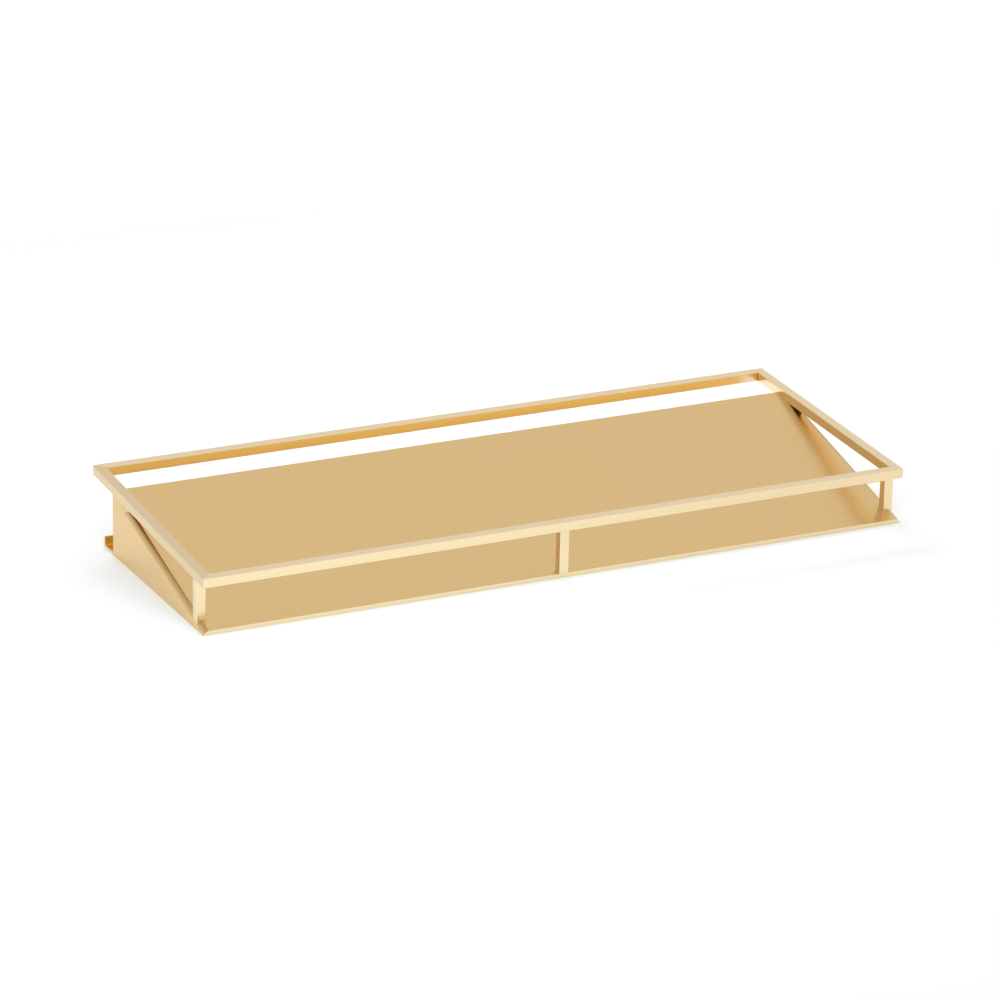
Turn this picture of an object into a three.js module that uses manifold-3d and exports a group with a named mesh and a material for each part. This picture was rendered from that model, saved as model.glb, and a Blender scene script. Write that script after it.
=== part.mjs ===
// A sloped brass condiment caddy: a folded sheet floor below a rectangular rail of square bar.
// Millimetres, +Z up. The origin is on the surface that it stands on, under the middle of the caddy.
import * as THREE from 'three';
import { mergeVertices } from 'three/addons/utils/BufferGeometryUtils.js';
import Module from 'manifold-3d';

const wasm = await Module();
wasm.setup();

// Driving dimensions, in millimetres and degrees
const WIDTH = 300; // over the side rails, and over the folded cheeks of the floor
const FRAME_DEPTH = 122.2; // front face to rear face of the rails, along the tilt of the frame
const FRAME_TOP = 23.5; // top of the rails above the front foot, square to the frame
const FRAME_TILT = 3.64; // the rear rail stands higher than the front rail
const RAIL_BAR = 4.2; // square bar of the four rails
const POST_BAR = 4; // square bar of the three posts
const CORNER_POST_SETBACK = 7.4; // from the front face of the rails to a corner post
const FLOOR_SHEET = 1.8; // thickness of the floor and its cheeks
const FLOOR_SLOPE = 14.7; // from the surface up to the floor
const FLOOR_DEPTH = 99.3; // rear edge of the floor and cheeks, behind the front face of the rails
const CHEEK_FOLD = 0.7; // inside radius of the fold from the floor to a cheek
const STRIP_SHEET = 1; // thickness of the folded strip behind the floor
const STRIP_FOLD = 0.4; // inside radius of its folds
const STRIP_REACH = 10.7; // from the rear foot of the cheeks to the back of the lip
const LIP_HEIGHT = 4.5;
const BRAZE_GAP = 0.3; // room for the brazing metal wherever two pieces meet
const FOLD_STEPS = 8; // flats in a quarter turn of a fold

const BRASS = { color: 0xd9b880, roughness: 0.28, metalness: 1 };

const { sin, cos, tan, PI } = Math;
const radians = THREE.MathUtils.degToRad;
const tilt = radians(FRAME_TILT);
const slope = radians(FLOOR_SLOPE);
const rise = radians(FLOOR_SLOPE - FRAME_TILT); // from the frame up to the floor
const half = WIDTH / 2;
const railUnderside = FRAME_TOP - RAIL_BAR;
const cheekFoot = FLOOR_DEPTH / cos(tilt); // rear foot of a cheek, on the surface

// Turns a closed three.js geometry into a solid that can be joined and cut.
function solidOf(geometry) {
  geometry.deleteAttribute('normal');
  geometry.deleteAttribute('uv');
  const merged = mergeVertices(geometry);
  return new wasm.Manifold(new wasm.Mesh({
    numProp: 3,
    vertProperties: merged.attributes.position.array,
    triVerts: new Uint32Array(merged.index.array),
  }));
}

function geometryOf(solid) {
  const { vertProperties, triVerts } = solid.getMesh();
  const geometry = new THREE.BufferGeometry();
  geometry.setAttribute('position', new THREE.BufferAttribute(vertProperties, 3));
  geometry.setIndex(new THREE.BufferAttribute(triVerts, 1));
  geometry.computeVertexNormals();
  return geometry;
}

function brassPiece(name, geometry) {
  const mesh = new THREE.Mesh(geometry, new THREE.MeshStandardMaterial(BRASS));
  mesh.name = name;
  return mesh;
}

function outline(points) {
  return new THREE.Shape(points.map(([x, y]) => new THREE.Vector2(x, y)));
}

function extrude(shape, depth) {
  return new THREE.ExtrudeGeometry(shape, { depth, bevelEnabled: false, curveSegments: FOLD_STEPS });
}

// Extrudes a side view, drawn in Y and Z, across the caddy from one X to another.
function extrudeAcross(shape, fromX, toX) {
  const along = [[0, 1, 0], [0, 0, 1], [1, 0, 0]].map((axis) => new THREE.Vector3(...axis));
  const turn = new THREE.Matrix4().makeBasis(...along);
  return extrude(shape, toX - fromX).applyMatrix4(turn).translate(fromX, 0, 0);
}

function block([x0, x1], [y0, y1], [z0, z1]) {
  const box = new THREE.BoxGeometry(x1 - x0, y1 - y0, z1 - z0);
  return box.translate((x0 + x1) / 2, (y0 + y1) / 2, (z0 + z1) / 2);
}

// Height of the floor's upper face in the tilted frame.
function floorTop(y) {
  return (FLOOR_SHEET + y * sin(rise)) / cos(rise);
}

// The floor and its two cheeks: one sheet, with both ends folded straight down.
// The section has its depth below the floor as Y, and runs up the slope as Z.
function floorSection(cheekLength) {
  const outer = CHEEK_FOLD + FLOOR_SHEET;
  const section = new THREE.Shape();
  section.moveTo(-half, cheekLength);
  section.absarc(-half + outer, outer, outer, PI, 1.5 * PI, false);
  section.absarc(half - outer, outer, outer, 1.5 * PI, 2 * PI, false);
  section.lineTo(half, cheekLength);
  section.lineTo(half - FLOOR_SHEET, cheekLength);
  section.absarc(half - outer, outer, CHEEK_FOLD, 2 * PI, 1.5 * PI, true);
  section.absarc(-half + outer, outer, CHEEK_FOLD, 1.5 * PI, PI, true);
  section.lineTo(-half + FLOOR_SHEET, cheekLength);
  return section;
}

// The sheet is trimmed by the surface below, flush with the front rail, square at the rear,
// and notched where its rear corners pass between and under the side rails.
function traySheet() {
  const overlength = FLOOR_SHEET;
  const run = FLOOR_DEPTH / cos(rise) + 2 * overlength;
  const across = new THREE.Vector3(1, 0, 0);
  const down = new THREE.Vector3(0, sin(rise), -cos(rise));
  const upSlope = new THREE.Vector3(0, cos(rise), sin(rise));
  const start = new THREE.Vector3().addScaledVector(down, -FLOOR_SHEET);
  start.addScaledVector(upSlope, -overlength);
  const place = new THREE.Matrix4().makeBasis(across, down, upSlope).setPosition(start);
  const folded = solidOf(extrude(floorSection(FLOOR_DEPTH), run).applyMatrix4(place));

  const roof = floorTop(FLOOR_DEPTH) + FLOOR_SHEET;
  const side = outline([
    [0, 0],
    [FLOOR_DEPTH, -FLOOR_DEPTH * tan(tilt)],
    [FLOOR_DEPTH, roof],
    [0, roof],
  ]);
  const trimmed = folded.intersect(solidOf(extrudeAcross(side, -WIDTH, WIDTH)));

  const railSeat = [railUnderside - BRAZE_GAP, roof + FLOOR_SHEET];
  const notchReach = half - RAIL_BAR - BRAZE_GAP;
  const lengthwise = [-FLOOR_DEPTH, 2 * FLOOR_DEPTH];
  const leftNotch = solidOf(block([-WIDTH, -notchReach], lengthwise, railSeat));
  const rightNotch = solidOf(block([notchReach, WIDTH], lengthwise, railSeat));
  return brassPiece('tray_sheet', geometryOf(trimmed.subtract(leftNotch).subtract(rightNotch)));
}

// A mitred rail. Its plan is drawn with the outer edge along X and the bar towards +Y.
function mitredRail(name, length) {
  const end = length / 2 - BRAZE_GAP / Math.SQRT2;
  const plan = outline([
    [-end, 0],
    [end, 0],
    [end - RAIL_BAR, RAIL_BAR],
    [-end + RAIL_BAR, RAIL_BAR],
  ]);
  return brassPiece(name, extrude(plan, RAIL_BAR));
}

function rails() {
  const placing = [
    ['front_rail', WIDTH, 0, 0, 0],
    ['right_rail', FRAME_DEPTH, half, FRAME_DEPTH / 2, PI / 2],
    ['rear_rail', WIDTH, 0, FRAME_DEPTH, PI],
    ['left_rail', FRAME_DEPTH, -half, FRAME_DEPTH / 2, -PI / 2],
  ];
  return placing.map(([name, length, x, y, turn]) => {
    const rail = mitredRail(name, length);
    rail.position.set(x, y, railUnderside);
    rail.rotation.z = turn;
    return rail;
  });
}

// A post of square bar, with its foot cut to the slope of the floor.
function post(name, leftX, frontY) {
  const rearY = frontY + POST_BAR;
  const top = railUnderside - BRAZE_GAP;
  const side = outline([
    [frontY, floorTop(frontY) + BRAZE_GAP],
    [rearY, floorTop(rearY) + BRAZE_GAP],
    [rearY, top],
    [frontY, top],
  ]);
  return brassPiece(name, extrudeAcross(side, leftX, leftX + POST_BAR));
}

// The strip behind the floor: a leg that carries the floor's rear edge, a foot that lies on the
// surface, and a lip along the back. The leg stands between the cheeks.
function rearStrip() {
  const outer = STRIP_FOLD + STRIP_SHEET;
  const legBack = FLOOR_DEPTH / (cos(tilt) + tan(slope) * sin(tilt)); // below the floor's rear edge
  const legFront = legBack - STRIP_SHEET;
  const lipBack = cheekFoot + STRIP_REACH;
  const legTop = (y) => y * tan(slope) - BRAZE_GAP / cos(slope);

  const side = new THREE.Shape();
  side.moveTo(legFront, legTop(legFront));
  side.absarc(legFront + outer, outer, outer, PI, 1.5 * PI, false);
  side.absarc(lipBack - outer, outer, outer, 1.5 * PI, 2 * PI, false);
  side.lineTo(lipBack, LIP_HEIGHT);
  side.lineTo(lipBack - STRIP_SHEET, LIP_HEIGHT);
  side.absarc(lipBack - outer, outer, STRIP_FOLD, 2 * PI, 1.5 * PI, true);
  side.absarc(legFront + outer, outer, STRIP_FOLD, 1.5 * PI, PI, true);
  side.lineTo(legBack, legTop(legBack));
  const strip = solidOf(extrudeAcross(side, -half, half));

  const betweenCheeks = half - FLOOR_SHEET - BRAZE_GAP;
  const beforeFoot = [0, cheekFoot + BRAZE_GAP];
  const fullHeight = [-FRAME_TOP, 2 * FRAME_TOP];
  const leftCut = solidOf(block([-WIDTH, -betweenCheeks], beforeFoot, fullHeight));
  const rightCut = solidOf(block([betweenCheeks, WIDTH], beforeFoot, fullHeight));
  return brassPiece('rear_strip', geometryOf(strip.subtract(leftCut).subtract(rightCut)));
}

// The rails, posts and floor share the tilted frame, which turns about the front foot.
const tilted = new THREE.Group();
tilted.rotation.x = tilt;
tilted.add(traySheet());
tilted.add(...rails());
tilted.add(post('front_left_post', -half, CORNER_POST_SETBACK));
tilted.add(post('front_right_post', half - POST_BAR, CORNER_POST_SETBACK));
tilted.add(post('front_centre_post', -POST_BAR / 2, 0));

const frontEnd = -FRAME_TOP * sin(tilt);
const rearEnd = FRAME_DEPTH * cos(tilt) - railUnderside * sin(tilt);
const caddy = new THREE.Group();
caddy.position.y = -(frontEnd + rearEnd) / 2;
caddy.add(tilted);
caddy.add(rearStrip());

const part = new THREE.Group();
part.add(caddy);

export default part;
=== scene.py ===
# Condiment caddy in satin brass: a folded sheet floor inside a rectangular rail of square bar.
# Metres, +Z up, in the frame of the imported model. Pieces follow in the order of their assembly.
from math import cos, pi, radians, sin, sqrt

import bmesh
import bpy
from mathutils import Matrix, Vector


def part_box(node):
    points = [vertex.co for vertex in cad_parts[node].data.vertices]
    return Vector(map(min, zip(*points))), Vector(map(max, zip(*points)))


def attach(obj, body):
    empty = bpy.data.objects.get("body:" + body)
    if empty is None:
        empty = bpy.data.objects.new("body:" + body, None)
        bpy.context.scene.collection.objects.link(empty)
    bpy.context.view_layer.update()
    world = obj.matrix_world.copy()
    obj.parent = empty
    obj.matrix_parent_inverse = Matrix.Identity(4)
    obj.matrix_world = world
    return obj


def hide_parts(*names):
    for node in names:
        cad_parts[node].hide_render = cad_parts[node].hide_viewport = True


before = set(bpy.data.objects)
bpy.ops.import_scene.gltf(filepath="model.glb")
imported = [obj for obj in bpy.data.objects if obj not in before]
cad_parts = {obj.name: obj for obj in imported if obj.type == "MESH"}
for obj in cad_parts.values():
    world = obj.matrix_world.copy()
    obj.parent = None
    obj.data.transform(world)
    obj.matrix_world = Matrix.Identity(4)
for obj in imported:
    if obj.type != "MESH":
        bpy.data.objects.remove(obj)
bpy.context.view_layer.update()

# Tray sheet
# The sloped floor and its two cheeks are one brass sheet, folded straight down along two lines,
# cut off level with the surface it stands on and notched round the side rails. Along the folds a
# dark tone is painted shade, for the shade under the side rails, deepest at the rear.
MM = 0.001
RAIL_TILT = radians(3.64)  # the rails and posts lean back on the sheet that they are brazed to
FLOOR_SLOPE = radians(14.7)
FLOOR_SHEET = 1.8 * MM
FLOOR_FOLD = 2.5 * MM  # outside radius of the folds
FOLD_STEPS = 16
BRAZE_GAP = 0.3 * MM  # between neighbours, filled by the brazing further below
SHEET_EASE = 0.16 * MM  # burrs are taken off the sheared edges
EASE_STEPS = 2
SHARP = radians(35)  # edges that turn further than this have a burr
CREASED = radians(50)  # edges that turn further than this are shaded as creases
FACING = 0.999  # cosine of the angle within which a face looks along a direction
ON_CUT = 1e-7  # points this close to a cut lie on it

FOLD_SHADE_TURN = radians(23)  # how far round a fold the painted shade is darkest
FOLD_SHADE_REACH = radians(20)
FOLD_SHADE_FADE = radians(9)
FOLD_SHADE_FRONT, FOLD_SHADE_REAR = 0.2, 0.9  # how strong the painted shade is at either end of the floor
# painted shade: the dark tone painted along the folds, where the side rails shade them
FOLD_PAINTED_SHADE = (0.46, 0.225, 0.055)
SHEET_DEEP, SHEET_PALE = (0.79, 0.545, 0.245), (0.83, 0.58, 0.27)
# paler cut faces: partly bare cut metal, partly a painted highlight for the bright floor they face
SHEARED_EDGE_AND_HIGHLIGHT = (0.90, 0.73, 0.46)
SHEET_ROUGHNESS = 0.27
SHEET_STREAK = 0.25

CLOUD_SCALE = (22, 22, 22)  # soft clouds, thin streaks and fine grain, counted per metre
STREAK_SCALE = (14, 900, 900)
GRAIN_SCALE = (160, 7000, 7000)
CLOUD_ON_ROUGHNESS = 0.06
STREAK_ON_ROUGHNESS = 0.03
STREAK_ON_HEIGHT = 0.15
BARE_IS_SMOOTHER = 0.05
GRAIN_STRENGTH = 0.04
GRAIN_DEPTH = 0.002 * MM

front_rail_low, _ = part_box("front_rail")
left_rail_low, left_rail_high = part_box("left_rail")
sheet_low, sheet_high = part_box("tray_sheet")
HALF_WIDTH = sheet_high.x
RAIL_BAR = left_rail_high.x - left_rail_low.x
RAIL_UNDERSIDE = front_rail_low.z / cos(RAIL_TILT)
FRAME_TOP = RAIL_UNDERSIDE + RAIL_BAR
front_foot = Vector((0, front_rail_low.y + FRAME_TOP * sin(RAIL_TILT), 0))
CHEEK_REAR = sheet_high.y
FLOOR_DEPTH = (CHEEK_REAR - front_foot.y) * cos(RAIL_TILT)
NOTCH_SIDE = HALF_WIDTH - RAIL_BAR - BRAZE_GAP

LEFT = Vector((-1, 0, 0))
RIGHT = Vector((1, 0, 0))
REAR = Vector((0, 1, 0))
UP = Vector((0, 0, 1))
tilted = Matrix.Translation(front_foot) @ Matrix.Rotation(RAIL_TILT, 4, "X")
sloped = Matrix.Translation(front_foot) @ Matrix.Rotation(FLOOR_SLOPE, 4, "X")
rail_up = tilted.to_3x3() @ UP
rail_rear = tilted.to_3x3() @ REAR
floor_up = sloped.to_3x3() @ UP
rail_seat = tilted @ Vector((0, 0, RAIL_UNDERSIDE - BRAZE_GAP))
floor_rear = tilted @ Vector((0, FLOOR_DEPTH, 0))


def round_edges(bm, edges, radius, steps):
    return bmesh.ops.bevel(
        bm, geom=edges, offset=radius, offset_type="OFFSET", segments=steps, profile=0.5,
        affect="EDGES", clamp_overlap=True, material=-1,
    )


def folded_sheet(path, sweep, radius):
    """The outer face of a sheet bent along a path of corners and as long as its sweep."""
    bm = bmesh.new()
    corners = [bm.verts.new(corner) for corner in path]
    edges = [bm.edges.new(pair) for pair in zip(corners, corners[1:])]
    swept = bmesh.ops.extrude_edge_only(bm, edges=edges)["geom"]
    far_end = [item for item in swept if isinstance(item, bmesh.types.BMVert)]
    bmesh.ops.translate(bm, verts=far_end, vec=sweep)
    bmesh.ops.recalc_face_normals(bm, faces=bm.faces[:])
    folds = [edge for edge in bm.edges if len(edge.link_faces) == 2]
    round_edges(bm, folds, radius, FOLD_STEPS)
    bm.normal_update()
    return bm


def cut(bm, point, outward, clear_outer=False):
    """Scores a mesh along a plane, and takes off what lies beyond it if that is asked for."""
    bmesh.ops.bisect_plane(
        bm, geom=bm.verts[:] + bm.edges[:] + bm.faces[:], dist=ON_CUT, plane_co=point,
        plane_no=outward, clear_outer=clear_outer,
    )


def notch_corners(bm, side, point, outward):
    """Cuts both corners off a sheet's outer face: past the side, and beyond a plane."""
    for at in (-side, side):
        cut(bm, at * RIGHT, RIGHT)
    cut(bm, point, outward)
    gone = []
    for face in bm.faces:
        middle = face.calc_center_median()
        if abs(middle.x) > side and (middle - point).dot(outward) > 0:
            gone.append(face)
    bmesh.ops.delete(bm, geom=gone, context="FACES")


def saw(bm, point, outward):
    """Cuts off what lies beyond a plane, closes the cut and gives back its face."""
    cut(bm, point, outward, clear_outer=True)
    return bmesh.ops.holes_fill(bm, edges=[edge for edge in bm.edges if edge.is_boundary])["faces"]


def ease_sharp_edges(bm, radius, sheared):
    """Takes the burr off every sharp edge, and marks the eased and the sheared faces as bare metal,
    whose paler tone is partly a painted highlight.
    """
    bare = bm.faces.layers.float.new("bare")
    bm.normal_update()
    sharp = [edge for edge in bm.edges if edge.calc_face_angle(0) > SHARP]
    for face in round_edges(bm, sharp, radius, EASE_STEPS)["faces"]:
        face[bare] = 1
    for face in bm.faces:
        if any(face.normal.dot(outward) > FACING for outward in sheared):
            face[bare] = 1


def set_or_link(tree, socket, value):
    if isinstance(value, bpy.types.NodeSocket):
        tree.links.new(value, socket)
    else:
        socket.default_value = value


def new_node(tree, kind, **inputs):
    """A shader node with values or links on its named inputs."""
    node = tree.nodes.new(kind)
    for name, value in inputs.items():
        set_or_link(tree, node.inputs[name.replace("_", " ")], value)
    return node


def math_node(tree, operation, first, second):
    node = tree.nodes.new("ShaderNodeMath")
    node.operation = operation
    for socket, value in zip(node.inputs, (first, second)):
        set_or_link(tree, socket, value)
    return node.outputs[0]


def vector_math(tree, operation, *values):
    node = tree.nodes.new("ShaderNodeVectorMath")
    node.operation = operation
    for socket, value in zip(node.inputs, values):
        set_or_link(tree, socket, value)
    return node.outputs


def mix_colours(tree, factor, first, second):
    """A colour between two others, each a plain tone or the output of a node."""
    mix = tree.nodes.new("ShaderNodeMix")
    mix.data_type = "RGBA"
    tree.links.new(factor, mix.inputs["Factor"])
    for socket, tone in zip([s for s in mix.inputs if s.type == "RGBA"], (first, second)):
        set_or_link(tree, socket, tone if isinstance(tone, bpy.types.NodeSocket) else (*tone, 1))
    return next(socket for socket in mix.outputs if socket.type == "RGBA")


def marked_faces(tree, name):
    """How strongly a face of the mesh is marked."""
    mark = tree.nodes.new("ShaderNodeAttribute")
    mark.attribute_name = name
    return mark.outputs["Fac"]


def satin_grain_group():
    """Fine grain along X, faint streaks and soft clouds, as a satin brushed metal has."""
    tree = bpy.data.node_groups.new("satin_grain", "ShaderNodeTree")
    for name, kind in (
        ("Position", "NodeSocketVector"),
        ("Bare", "NodeSocketFloat"),
        ("Cloud", "NodeSocketFloat"),
        ("Streak", "NodeSocketFloat"),
        ("Roughness", "NodeSocketFloat"),
    ):
        tree.interface.new_socket(name, in_out="INPUT", socket_type=kind)
    for name in ("Tone", "Roughness", "Height"):
        tree.interface.new_socket(name, in_out="OUTPUT", socket_type="NodeSocketFloat")
    given = tree.nodes.new("NodeGroupInput").outputs
    result = tree.nodes.new("NodeGroupOutput").inputs

    def noise(scale, detail):
        scaled = vector_math(tree, "MULTIPLY", given["Position"], scale)[0]
        made = new_node(tree, "ShaderNodeTexNoise", Vector=scaled, Scale=1.0, Detail=detail)
        return math_node(tree, "SUBTRACT", made.outputs["Fac"], 0.5)

    def scaled_sum(base, operation, value, factor):
        return math_node(tree, operation, base, math_node(tree, "MULTIPLY", value, factor))

    cloud = noise(CLOUD_SCALE, detail=2.0)
    streak = noise(STREAK_SCALE, detail=3.0)
    grain = noise(GRAIN_SCALE, detail=2.0)

    tone = math_node(tree, "MULTIPLY", cloud, given["Cloud"])
    tone = scaled_sum(tone, "ADD", streak, given["Streak"])
    tree.links.new(math_node(tree, "ADD", tone, 0.5), result["Tone"])
    rough = scaled_sum(given["Roughness"], "ADD", cloud, CLOUD_ON_ROUGHNESS)
    rough = scaled_sum(rough, "ADD", streak, STREAK_ON_ROUGHNESS)
    rough = scaled_sum(rough, "SUBTRACT", given["Bare"], BARE_IS_SMOOTHER)
    tree.links.new(rough, result["Roughness"])
    tree.links.new(scaled_sum(grain, "ADD", streak, STREAK_ON_HEIGHT), result["Height"])
    return tree


satin_grain = satin_grain_group()


def satin_brass(name, deep, pale, edge, roughness, cloud, streak, grain_turn=(0, 0, 0), tint=None):
    """Satin brass between two tones, paler on bare edges, with its grain along X before the turn."""
    material = bpy.data.materials.new(name)
    material.use_nodes = True
    tree = material.node_tree
    shader = tree.nodes["Principled BSDF"]
    shader.inputs["Metallic"].default_value = 1.0
    place = new_node(tree, "ShaderNodeTexCoord").outputs["Object"]
    turned = new_node(tree, "ShaderNodeMapping", Vector=place, Rotation=grain_turn).outputs[0]
    bare = marked_faces(tree, "bare")
    finish = tree.nodes.new("ShaderNodeGroup")
    finish.node_tree = satin_grain
    tree.links.new(turned, finish.inputs["Position"])
    tree.links.new(bare, finish.inputs["Bare"])
    finish.inputs["Cloud"].default_value = cloud
    finish.inputs["Streak"].default_value = streak
    finish.inputs["Roughness"].default_value = roughness
    colour = mix_colours(tree, finish.outputs["Tone"], deep, pale)
    colour = mix_colours(tree, bare, colour, edge)
    # painted shade along the folds, stronger towards the rear of the floor
    if tint:
        along = new_node(tree, "ShaderNodeSeparateXYZ", Vector=place).outputs["Y"]
        fade = new_node(
            tree, "ShaderNodeMapRange", Value=along, From_Min=sheet_low.y, From_Max=sheet_high.y,
            To_Min=FOLD_SHADE_FRONT, To_Max=FOLD_SHADE_REAR,
        )
        painted_shade_strength = math_node(tree, "MULTIPLY", marked_faces(tree, "painted_fold_shade"), fade.outputs[0])
        colour = mix_colours(tree, painted_shade_strength, colour, tint)
    tree.links.new(colour, shader.inputs["Base Color"])
    tree.links.new(finish.outputs["Roughness"], shader.inputs["Roughness"])
    bump = new_node(
        tree, "ShaderNodeBump", Strength=GRAIN_STRENGTH, Distance=GRAIN_DEPTH,
        Height=finish.outputs["Height"],
    )
    tree.links.new(bump.outputs["Normal"], shader.inputs["Normal"])
    return material


def make_piece(name, bm, material, slot, *nodes):
    """Turns a mesh into a piece of the caddy that stands for its CAD nodes."""
    mesh = bpy.data.meshes.new(name)
    bm.to_mesh(mesh)
    bm.free()
    mesh.shade_smooth()
    mesh.set_sharp_from_angle(angle=CREASED)
    mesh.materials.append(material)
    piece = bpy.data.objects.new(name, mesh)
    bpy.context.scene.collection.objects.link(piece)
    even = piece.modifiers.new("flat_faces_stay_flat", "WEIGHTED_NORMAL")
    even.keep_sharp = True
    even.weight = 100  # the largest faces weigh most
    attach(piece, "root")
    if nodes:
        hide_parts(*nodes)


overlength = FLOOR_SHEET
sheet_length = FLOOR_DEPTH + 6 * overlength  # past the floor at both ends, to be sawn off
tray = folded_sheet(
    [
        (-HALF_WIDTH, -overlength, -FLOOR_DEPTH),
        (-HALF_WIDTH, -overlength, FLOOR_SHEET),
        (HALF_WIDTH, -overlength, FLOOR_SHEET),
        (HALF_WIDTH, -overlength, -FLOOR_DEPTH),
    ],
    (0, sheet_length, 0),
    FLOOR_FOLD,
)
# how strongly each face of the folds takes the painted shade
painted_fold_shade = tray.faces.layers.float.new("painted_fold_shade")
for face in tray.faces:
    inside = FOLD_SHADE_REACH - abs(face.normal.angle(UP) - FOLD_SHADE_TURN)
    face[painted_fold_shade] = max(0, min(1, inside / FOLD_SHADE_FADE))
tray.transform(sloped)
notch_corners(tray, NOTCH_SIDE, rail_seat, rail_up)
bmesh.ops.solidify(tray, geom=tray.faces[:], thickness=FLOOR_SHEET)
saw(tray, floor_rear, rail_rear)
saw(tray, Vector((0, 0, 0)), -UP)
saw(tray, front_foot, -rail_rear)
ease_sharp_edges(tray, SHEET_EASE, (-rail_rear, rail_rear, -UP))
sheet_brass = satin_brass(
    "sheet_brass", SHEET_DEEP, SHEET_PALE, SHEARED_EDGE_AND_HIGHLIGHT, SHEET_ROUGHNESS, cloud=0.9,
    streak=SHEET_STREAK, tint=FOLD_PAINTED_SHADE,
)
make_piece("folded_tray_sheet", tray, sheet_brass, "sheet_brass", "tray_sheet")

# Rear strip
# A narrow strip of yellower brass folded into a channel: its leg stands between the cheeks and
# carries the floor's rear edge, its foot lies on the surface, and a low lip runs along the back.
STRIP_SHEET = 1.0 * MM
STRIP_FOLD = 1.4 * MM  # outside radius of both folds
STRIP_DEEP, STRIP_PALE = (0.84, 0.60, 0.22), (0.88, 0.635, 0.245)
strip_low, strip_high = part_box("rear_strip")
LEG_FRONT = strip_low.y
LEG_BACK = LEG_FRONT + STRIP_SHEET
LIP_BACK = strip_high.y
LIP_HEIGHT = 4.5 * MM
LEG_SIDE = HALF_WIDTH - FLOOR_SHEET - BRAZE_GAP

strip = folded_sheet(
    [
        (-HALF_WIDTH, LEG_FRONT, strip_high.z + overlength),
        (-HALF_WIDTH, LEG_FRONT, 0),
        (-HALF_WIDTH, LIP_BACK, 0),
        (-HALF_WIDTH, LIP_BACK, LIP_HEIGHT),
    ],
    (2 * HALF_WIDTH, 0, 0),
    STRIP_FOLD,
)
notch_corners(strip, LEG_SIDE, Vector((0, CHEEK_REAR + BRAZE_GAP, 0)), -REAR)
bmesh.ops.solidify(strip, geom=strip.faces[:], thickness=STRIP_SHEET)
saw(strip, front_foot - BRAZE_GAP * floor_up, floor_up)
ease_sharp_edges(strip, SHEET_EASE, (LEFT, RIGHT))
strip_brass = satin_brass(
    "strip_brass", STRIP_DEEP, STRIP_PALE, SHEARED_EDGE_AND_HIGHLIGHT, SHEET_ROUGHNESS, cloud=0.5, streak=SHEET_STREAK,
)
make_piece("folded_rear_strip", strip, strip_brass, "sheet_brass", "rear_strip")

# Posts
# Three short lengths of square brass bar, sawn square at the top and to the floor's slope at the
# foot. The corner posts stand back from the front rail, and the centre post is flush with it.
POST_EDGE = 0.4 * MM  # drawn bar has slightly rounded long edges
EDGE_STEPS = 4
BAR_TONES = ((0.88, 0.69, 0.42), (0.92, 0.735, 0.46), (0.92, 0.75, 0.50))  # deep, pale, bare edges
BAR_FINISH = {"roughness": 0.25, "cloud": 0.3, "streak": 0.3}
corner_post_low, corner_post_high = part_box("front_left_post")
POST_BAR = corner_post_high.x - corner_post_low.x
POST_TOP = RAIL_UNDERSIDE - BRAZE_GAP
CORNER_SETBACK = (corner_post_low.y - front_foot.y + POST_TOP * sin(RAIL_TILT)) / cos(RAIL_TILT)
floor_rise = FLOOR_SLOPE - RAIL_TILT  # from the rails up to the floor
floor_top = front_foot + FLOOR_SHEET * floor_up
foot_gap = BRAZE_GAP * cos(floor_rise) * floor_up


def square_bar(width, length, edge):
    """Bar along X, centred, with its long edges rounded."""
    bm = bmesh.new()
    bmesh.ops.create_cube(bm, size=1, matrix=Matrix.Diagonal((length, width, width, 1)))
    long_edges = [e for e in bm.edges if abs(e.verts[0].co.x - e.verts[1].co.x) > length / 2]
    bare = bm.faces.layers.float.new("bare")
    for face in round_edges(bm, long_edges, edge, EDGE_STEPS)["faces"]:
        face[bare] = 1
    return bm


def post_bar(middle_x, front):
    """Post stock that stands through the floor and past the rails."""
    bm = square_bar(POST_BAR, 3 * FRAME_TOP, POST_EDGE)
    upright = Matrix.Rotation(pi / 2, 4, "Y")
    bm.transform(tilted @ Matrix.Translation((middle_x, front + POST_BAR / 2, RAIL_UNDERSIDE)) @ upright)
    return bm


post_places = {
    "front_left_post": (-HALF_WIDTH + POST_BAR / 2, CORNER_SETBACK),
    "front_centre_post": (0, 0),
    "front_right_post": (HALF_WIDTH - POST_BAR / 2, CORNER_SETBACK),
}
post_brass = satin_brass("post_brass", *BAR_TONES, **BAR_FINISH, grain_turn=(0, pi / 2, 0))
for node, place in post_places.items():
    post = post_bar(*place)
    saw(post, rail_seat, rail_up)
    saw(post, floor_top + foot_gap, -floor_up)
    make_piece(f"eased_{node}", post, post_brass, "bar_brass", node)

# Rails
# Four lengths of square brass bar, mitred and brazed into a rectangle that rests on the posts in
# front and on the cheeks behind. The rear rail runs free, clear of the floor and its strip.
RAIL_EDGE = 0.45 * MM
CORNER_EDGE = 0.5 * MM  # the corners of the rectangle are dressed round
CORNER_TURNS = (radians(15), radians(30), radians(45))
LEFT_RAIL_SHADED_TONES = ((0.78, 0.585, 0.34), (0.82, 0.625, 0.375), (0.83, 0.645, 0.40))  # painted shade: darker bar tones for the rail on the shaded left side
MITRE = (RIGHT + REAR).normalized()
MITRE_GAP = BRAZE_GAP / sqrt(2) * RIGHT  # from a corner back to the rail, along the rail
_, rear_rail_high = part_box("rear_rail")
FRAME_DEPTH = (rear_rail_high.y - front_foot.y + RAIL_UNDERSIDE * sin(RAIL_TILT)) / cos(RAIL_TILT)


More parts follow.
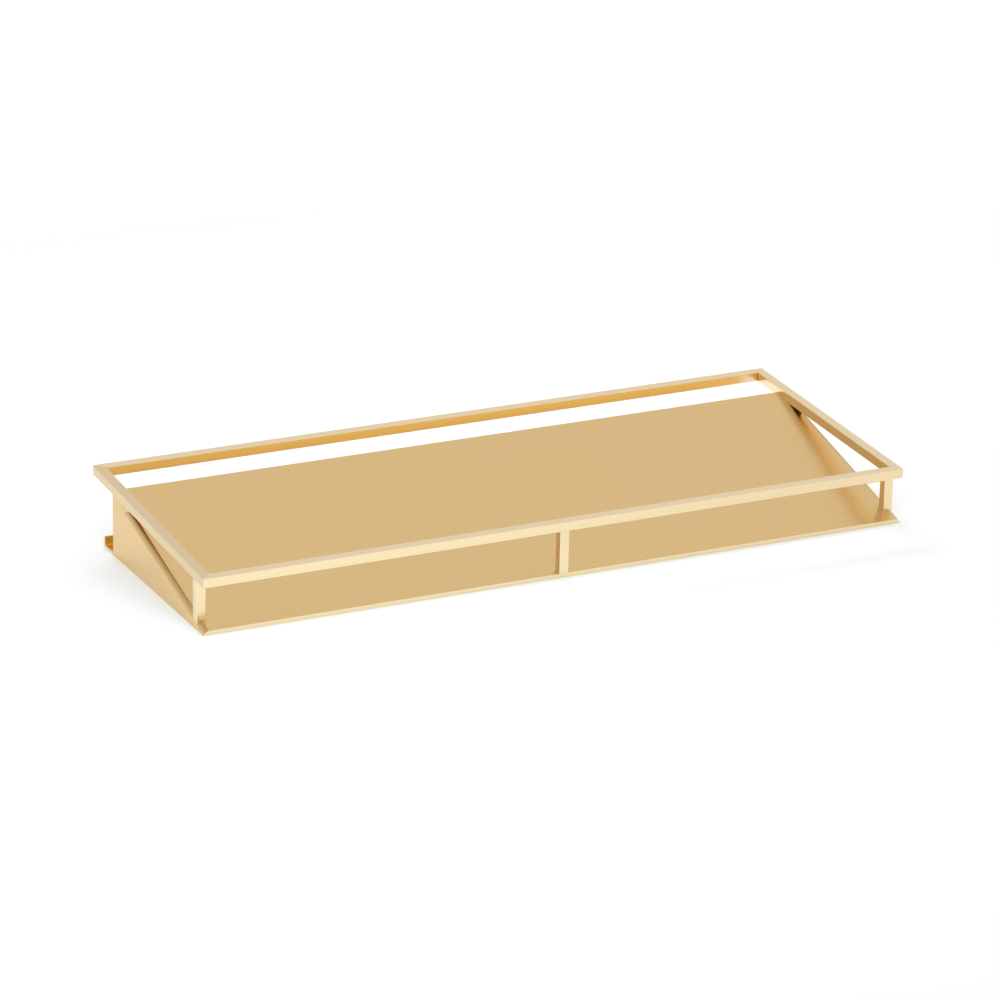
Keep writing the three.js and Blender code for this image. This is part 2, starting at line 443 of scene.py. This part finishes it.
def rail_bar(length):
    """Rail stock along X, with its outer edge on Y = 0 and its underside on Z = 0."""
    bm = square_bar(RAIL_BAR, length, RAIL_EDGE)
    bmesh.ops.translate(bm, verts=bm.verts[:], vec=(0, RAIL_BAR / 2, RAIL_BAR / 2))
    return bm


def round_corner(bm, length, end):
    """Dresses the outer corner at one end of a rail, as far as the mitre."""
    bare = bm.faces.layers.float["bare"]
    middle = Vector((end * (length / 2 - CORNER_EDGE), CORNER_EDGE, 0))
    for turn in CORNER_TURNS:
        outward = Vector((end * sin(turn), -cos(turn), 0))
        for face in saw(bm, middle + CORNER_EDGE * outward, outward):
            face[bare] = 1


def rail_place(x, y, turn):
    return tilted @ Matrix.Translation((x, y, RAIL_UNDERSIDE)) @ Matrix.Rotation(turn, 4, "Z")


along_side = (0, 0, pi / 2)
long_rail_brass = satin_brass("long_rail_brass", *BAR_TONES, **BAR_FINISH)
right_rail_brass = satin_brass("right_rail_brass", *BAR_TONES, **BAR_FINISH, grain_turn=along_side)
# the left rail takes painted shade: deeper tones than the other rails, for the dimmer light on that side
shaded_left_rail_brass = satin_brass("shaded_left_rail_brass", *LEFT_RAIL_SHADED_TONES, **BAR_FINISH, grain_turn=along_side)
rails = {
    "front_rail": (2 * HALF_WIDTH, rail_place(0, 0, 0), long_rail_brass),
    "right_rail": (FRAME_DEPTH, rail_place(HALF_WIDTH, FRAME_DEPTH / 2, pi / 2), right_rail_brass),
    "rear_rail": (2 * HALF_WIDTH, rail_place(0, FRAME_DEPTH, pi), long_rail_brass),
    "left_rail": (FRAME_DEPTH, rail_place(-HALF_WIDTH, FRAME_DEPTH / 2, -pi / 2), shaded_left_rail_brass),
}
for node, (length, place, brass) in rails.items():
    rail = rail_bar(length)
    mitre_end = length / 2 * RIGHT - MITRE_GAP
    saw(rail, mitre_end, MITRE)
    saw(rail, -mitre_end, Vector((-MITRE.x, MITRE.y, 0)))
    for end in (-1, 1):
        round_corner(rail, length, end)
    rail.transform(place)
    make_piece(f"eased_{node}", rail, brass, "bar_brass", node)

# Brazing
# Brazing metal fills the joints: the mitres, both ends of the posts, the rail seats on the cheeks,
# and the strip's leg under the floor. On the bars it is a little paler. All of it is dressed flush.
SEAT_BUILD_UP = 1.5 * MM  # the seats are built up over the folds, flush with the cheeks
SEAT_RUNOUT = 4 * MM
ABOVE_ALL = 2 * FRAME_TOP
seat_front = (POST_TOP * cos(floor_rise) - FLOOR_SHEET) / sin(floor_rise)  # where floor and rails meet
bar_braze = satin_brass(
    "braze_brass", deep=(0.86, 0.66, 0.39), pale=(0.90, 0.72, 0.46), edge=(0.92, 0.75, 0.50),
    roughness=0.3, cloud=0.4, streak=0.2,
)
sheet_braze = satin_brass(
    "sheet_braze", deep=(0.80, 0.565, 0.275), pale=(0.83, 0.60, 0.30), edge=(0.88, 0.70, 0.43),
    roughness=0.28, cloud=0.4, streak=0.2,
)


def block(*ends):
    """A box between two ends along each axis, in either order."""
    low = Vector([min(pair) for pair in ends])
    high = Vector([max(pair) for pair in ends])
    bm = bmesh.new()
    place = Matrix.Translation((low + high) / 2)
    bmesh.ops.create_cube(bm, size=1, matrix=place @ Matrix.Diagonal((*(high - low), 1)))
    return bm


def gather(films):
    whole = bmesh.new()
    for bm in films:
        mesh = bpy.data.meshes.new("film")
        bm.to_mesh(mesh)
        bm.free()
        whole.from_mesh(mesh)
        bpy.data.meshes.remove(mesh)
    return whole


mitre_films = []
for length, place, _ in rails.values():
    film = rail_bar(2 * length)
    corner = length / 2 * RIGHT
    saw(film, corner - MITRE_GAP, -MITRE)
    saw(film, corner + MITRE_GAP, MITRE)
    saw(film, corner, RIGHT)
    round_corner(film, length, 1)
    film.transform(place)
    mitre_films.append(film)
make_piece("mitre_brazing", gather(mitre_films), bar_braze, "bar_brass")

post_films = []
for place in post_places.values():
    head = post_bar(*place)
    saw(head, rail_seat + (BRAZE_GAP + RAIL_EDGE) * rail_up, rail_up)
    saw(head, rail_seat, -rail_up)
    foot = post_bar(*place)
    saw(foot, floor_top + foot_gap, floor_up)
    fold_fill = FLOOR_FOLD / 2 if place[0] else 0  # the corner posts stand over the folds
    saw(foot, floor_top - fold_fill * floor_up, -floor_up)
    post_films += [head, foot]
make_piece("post_brazing", gather(post_films), bar_braze, "bar_brass")

leg_film = block((-LEG_SIDE, LEG_SIDE), (LEG_FRONT, LEG_BACK), (0, ABOVE_ALL))
saw(leg_film, front_foot, floor_up)
saw(leg_film, front_foot - BRAZE_GAP * floor_up, -floor_up)
sheet_films = [leg_film]
for side in (-1, 1):
    cheek_outer = side * HALF_WIDTH
    cheek_inner = side * (HALF_WIDTH - FLOOR_SHEET)
    leg_end = side * LEG_SIDE
    flush_front = seat_front - SEAT_BUILD_UP
    seat = block(
        (cheek_outer, cheek_inner),
        (flush_front - SEAT_RUNOUT, FLOOR_DEPTH),
        (POST_TOP - 2 * FLOOR_FOLD, RAIL_UNDERSIDE + RAIL_EDGE),
    )
    taper = Vector((side * SEAT_RUNOUT, -FLOOR_SHEET, 0)).normalized()
    saw(seat, Vector((cheek_outer, flush_front, 0)), taper)
    seat.transform(tilted)
    saw(seat, floor_top - FLOOR_FOLD * floor_up, -floor_up)
    rail_inner = side * (HALF_WIDTH - RAIL_BAR)
    notch = block((rail_inner, side * NOTCH_SIDE), (seat_front, FLOOR_DEPTH), (POST_TOP, ABOVE_ALL))
    notch.transform(tilted)
    saw(notch, floor_top, floor_up)
    saw(notch, front_foot, -floor_up)
    leg_side = block((cheek_inner, leg_end), (LEG_FRONT, LEG_BACK), (STRIP_FOLD, ABOVE_ALL))
    saw(leg_side, front_foot, floor_up)
    toe = block((cheek_outer, leg_end), (CHEEK_REAR, CHEEK_REAR + BRAZE_GAP), (0, STRIP_SHEET))
    sheet_films += [seat, notch, leg_side, toe]
make_piece("sheet_brazing", gather(sheet_films), sheet_braze, "sheet_brass")

# Studio floor
# A plain pale floor that is lit by the lamps and keeps the caddy's shadow. White is added to it for
# the camera and for reflections, more of it where the lamps don't reach.
FLOOR_REACH = 8.0
FLOOR_GREY = 0.86
LAMPS_FADE, LAMPS_END = 0.25, 0.6  # distances from the caddy's middle
NEAR_WHITE, FAR_WHITE = 0.22, 0.37
stage_mesh = bmesh.new()
bmesh.ops.create_grid(stage_mesh, x_segments=1, y_segments=1, size=FLOOR_REACH)
floor_data = bpy.data.meshes.new("studio_floor")
stage_mesh.to_mesh(floor_data)
stage_mesh.free()
studio_floor = bpy.data.objects.new("studio_floor", floor_data)
bpy.context.scene.collection.objects.link(studio_floor)

floor_paint = bpy.data.materials.new("studio_floor_paint")
floor_paint.use_nodes = True
paint = floor_paint.node_tree
paint.nodes.clear()
rays = paint.nodes.new("ShaderNodeLightPath").outputs
seen = math_node(paint, "MAXIMUM", rays["Is Camera Ray"], rays["Is Glossy Ray"])
seen = math_node(paint, "MAXIMUM", seen, rays["Is Transmission Ray"])
floor_place = new_node(paint, "ShaderNodeTexCoord").outputs["Object"]
added_white = new_node(
    paint, "ShaderNodeMapRange", Value=vector_math(paint, "LENGTH", floor_place)["Value"],
    From_Min=LAMPS_FADE, From_Max=LAMPS_END, To_Min=NEAR_WHITE, To_Max=FAR_WHITE,
)
lift = math_node(paint, "MULTIPLY", seen, added_white.outputs[0])
matt = new_node(paint, "ShaderNodeBsdfDiffuse", Color=(FLOOR_GREY, FLOOR_GREY, FLOOR_GREY, 1))
white = new_node(paint, "ShaderNodeEmission", Color=(1, 1, 1, 1), Strength=lift)
both = paint.nodes.new("ShaderNodeAddShader")
paint.links.new(matt.outputs[0], both.inputs[0])
paint.links.new(white.outputs[0], both.inputs[1])
new_node(paint, "ShaderNodeOutputMaterial", Surface=both.outputs[0])
floor_data.materials.append(floor_paint)

# Studio light
# An even white sky, shaded towards the upper left, which the metal reflects. Two soft panels light
# the floor in front of the caddy and behind it.
SKY = 0.84
SHADE_LOW, SHADE_OVERHEAD = 0.08, 0.6  # how much darker the left is, and what height adds to that
world = bpy.data.worlds.new("soft_studio")
bpy.context.scene.world = world
world.use_nodes = True
sky = world.node_tree
backdrop = sky.nodes["Background"]
backdrop.inputs["Color"].default_value = (1, 1, 1, 1)
direction = new_node(sky, "ShaderNodeTexCoord").outputs["Generated"]
towards = new_node(sky, "ShaderNodeSeparateXYZ", Vector=direction).outputs
leftward = math_node(sky, "MAXIMUM", math_node(sky, "MULTIPLY", towards["X"], -1), 0)
overhead = math_node(sky, "POWER", math_node(sky, "MAXIMUM", towards["Z"], 0), 2)
shade = math_node(sky, "ADD", math_node(sky, "MULTIPLY", overhead, SHADE_OVERHEAD), SHADE_LOW)
shade = math_node(sky, "MULTIPLY", leftward, shade)
sky.links.new(math_node(sky, "SUBTRACT", SKY, shade), backdrop.inputs["Strength"])


def softbox(name, size, spread, watts, tint, place, aim):
    """A panel of soft light on the floor, which shows neither in the picture nor in the metal."""
    light = bpy.data.lights.new(name, "AREA")
    light.shape = "RECTANGLE"
    light.size, light.size_y = size
    light.spread = spread
    light.energy = watts
    light.color = tint
    lamp = bpy.data.objects.new(name, light)
    lamp.location = place
    lamp.rotation_euler = (Vector(aim) - lamp.location).to_track_quat("-Z", "Y").to_euler()
    lamp.visible_camera = False
    lamp.visible_glossy = False
    bpy.context.scene.collection.objects.link(lamp)


softbox(
    "front_softbox", size=(0.3, 0.12), spread=radians(70), watts=0.19, tint=(0.7, 0.98, 1.08),
    place=(-0.22, -0.45, 0.33), aim=(-0.10, -0.13, 0),
)
softbox(
    "rear_softbox", size=(0.3, 0.1), spread=radians(60), watts=0.2, tint=(1.0, 1.0, 1.0),
    place=(0.12, 0.54, 0.4), aim=(0.08, 0.16, 0),
)

# Camera
# A long lens to the left of the front, looking down on the caddy, as the photograph was taken.
LENS, SENSOR = 158.97, 36
CLIP_END = 50  # well past the far edge of the studio floor
CAMERA_PLACE = (-0.6915, -1.5184, 0.59385)
CAMERA_YAW = radians(24.485)
CAMERA_PITCH = radians(19.188)
CAMERA_ROLL = radians(-0.276)
camera_data = bpy.data.cameras.new("photo_camera")
camera_data.lens = LENS
camera_data.sensor_width = SENSOR
camera_data.clip_end = CLIP_END
camera = bpy.data.objects.new("photo_camera", camera_data)
camera.location = CAMERA_PLACE
heading = Matrix.Rotation(-CAMERA_YAW, 3, "Z")
dip = Matrix.Rotation(pi / 2 - CAMERA_PITCH, 3, "X")
roll = Matrix.Rotation(CAMERA_ROLL, 3, "Z")
camera.rotation_euler = (heading @ dip @ roll).to_euler()
bpy.context.scene.collection.objects.link(camera)
bpy.context.scene.camera = camera
bpy.context.scene.view_settings.view_transform = "Standard"
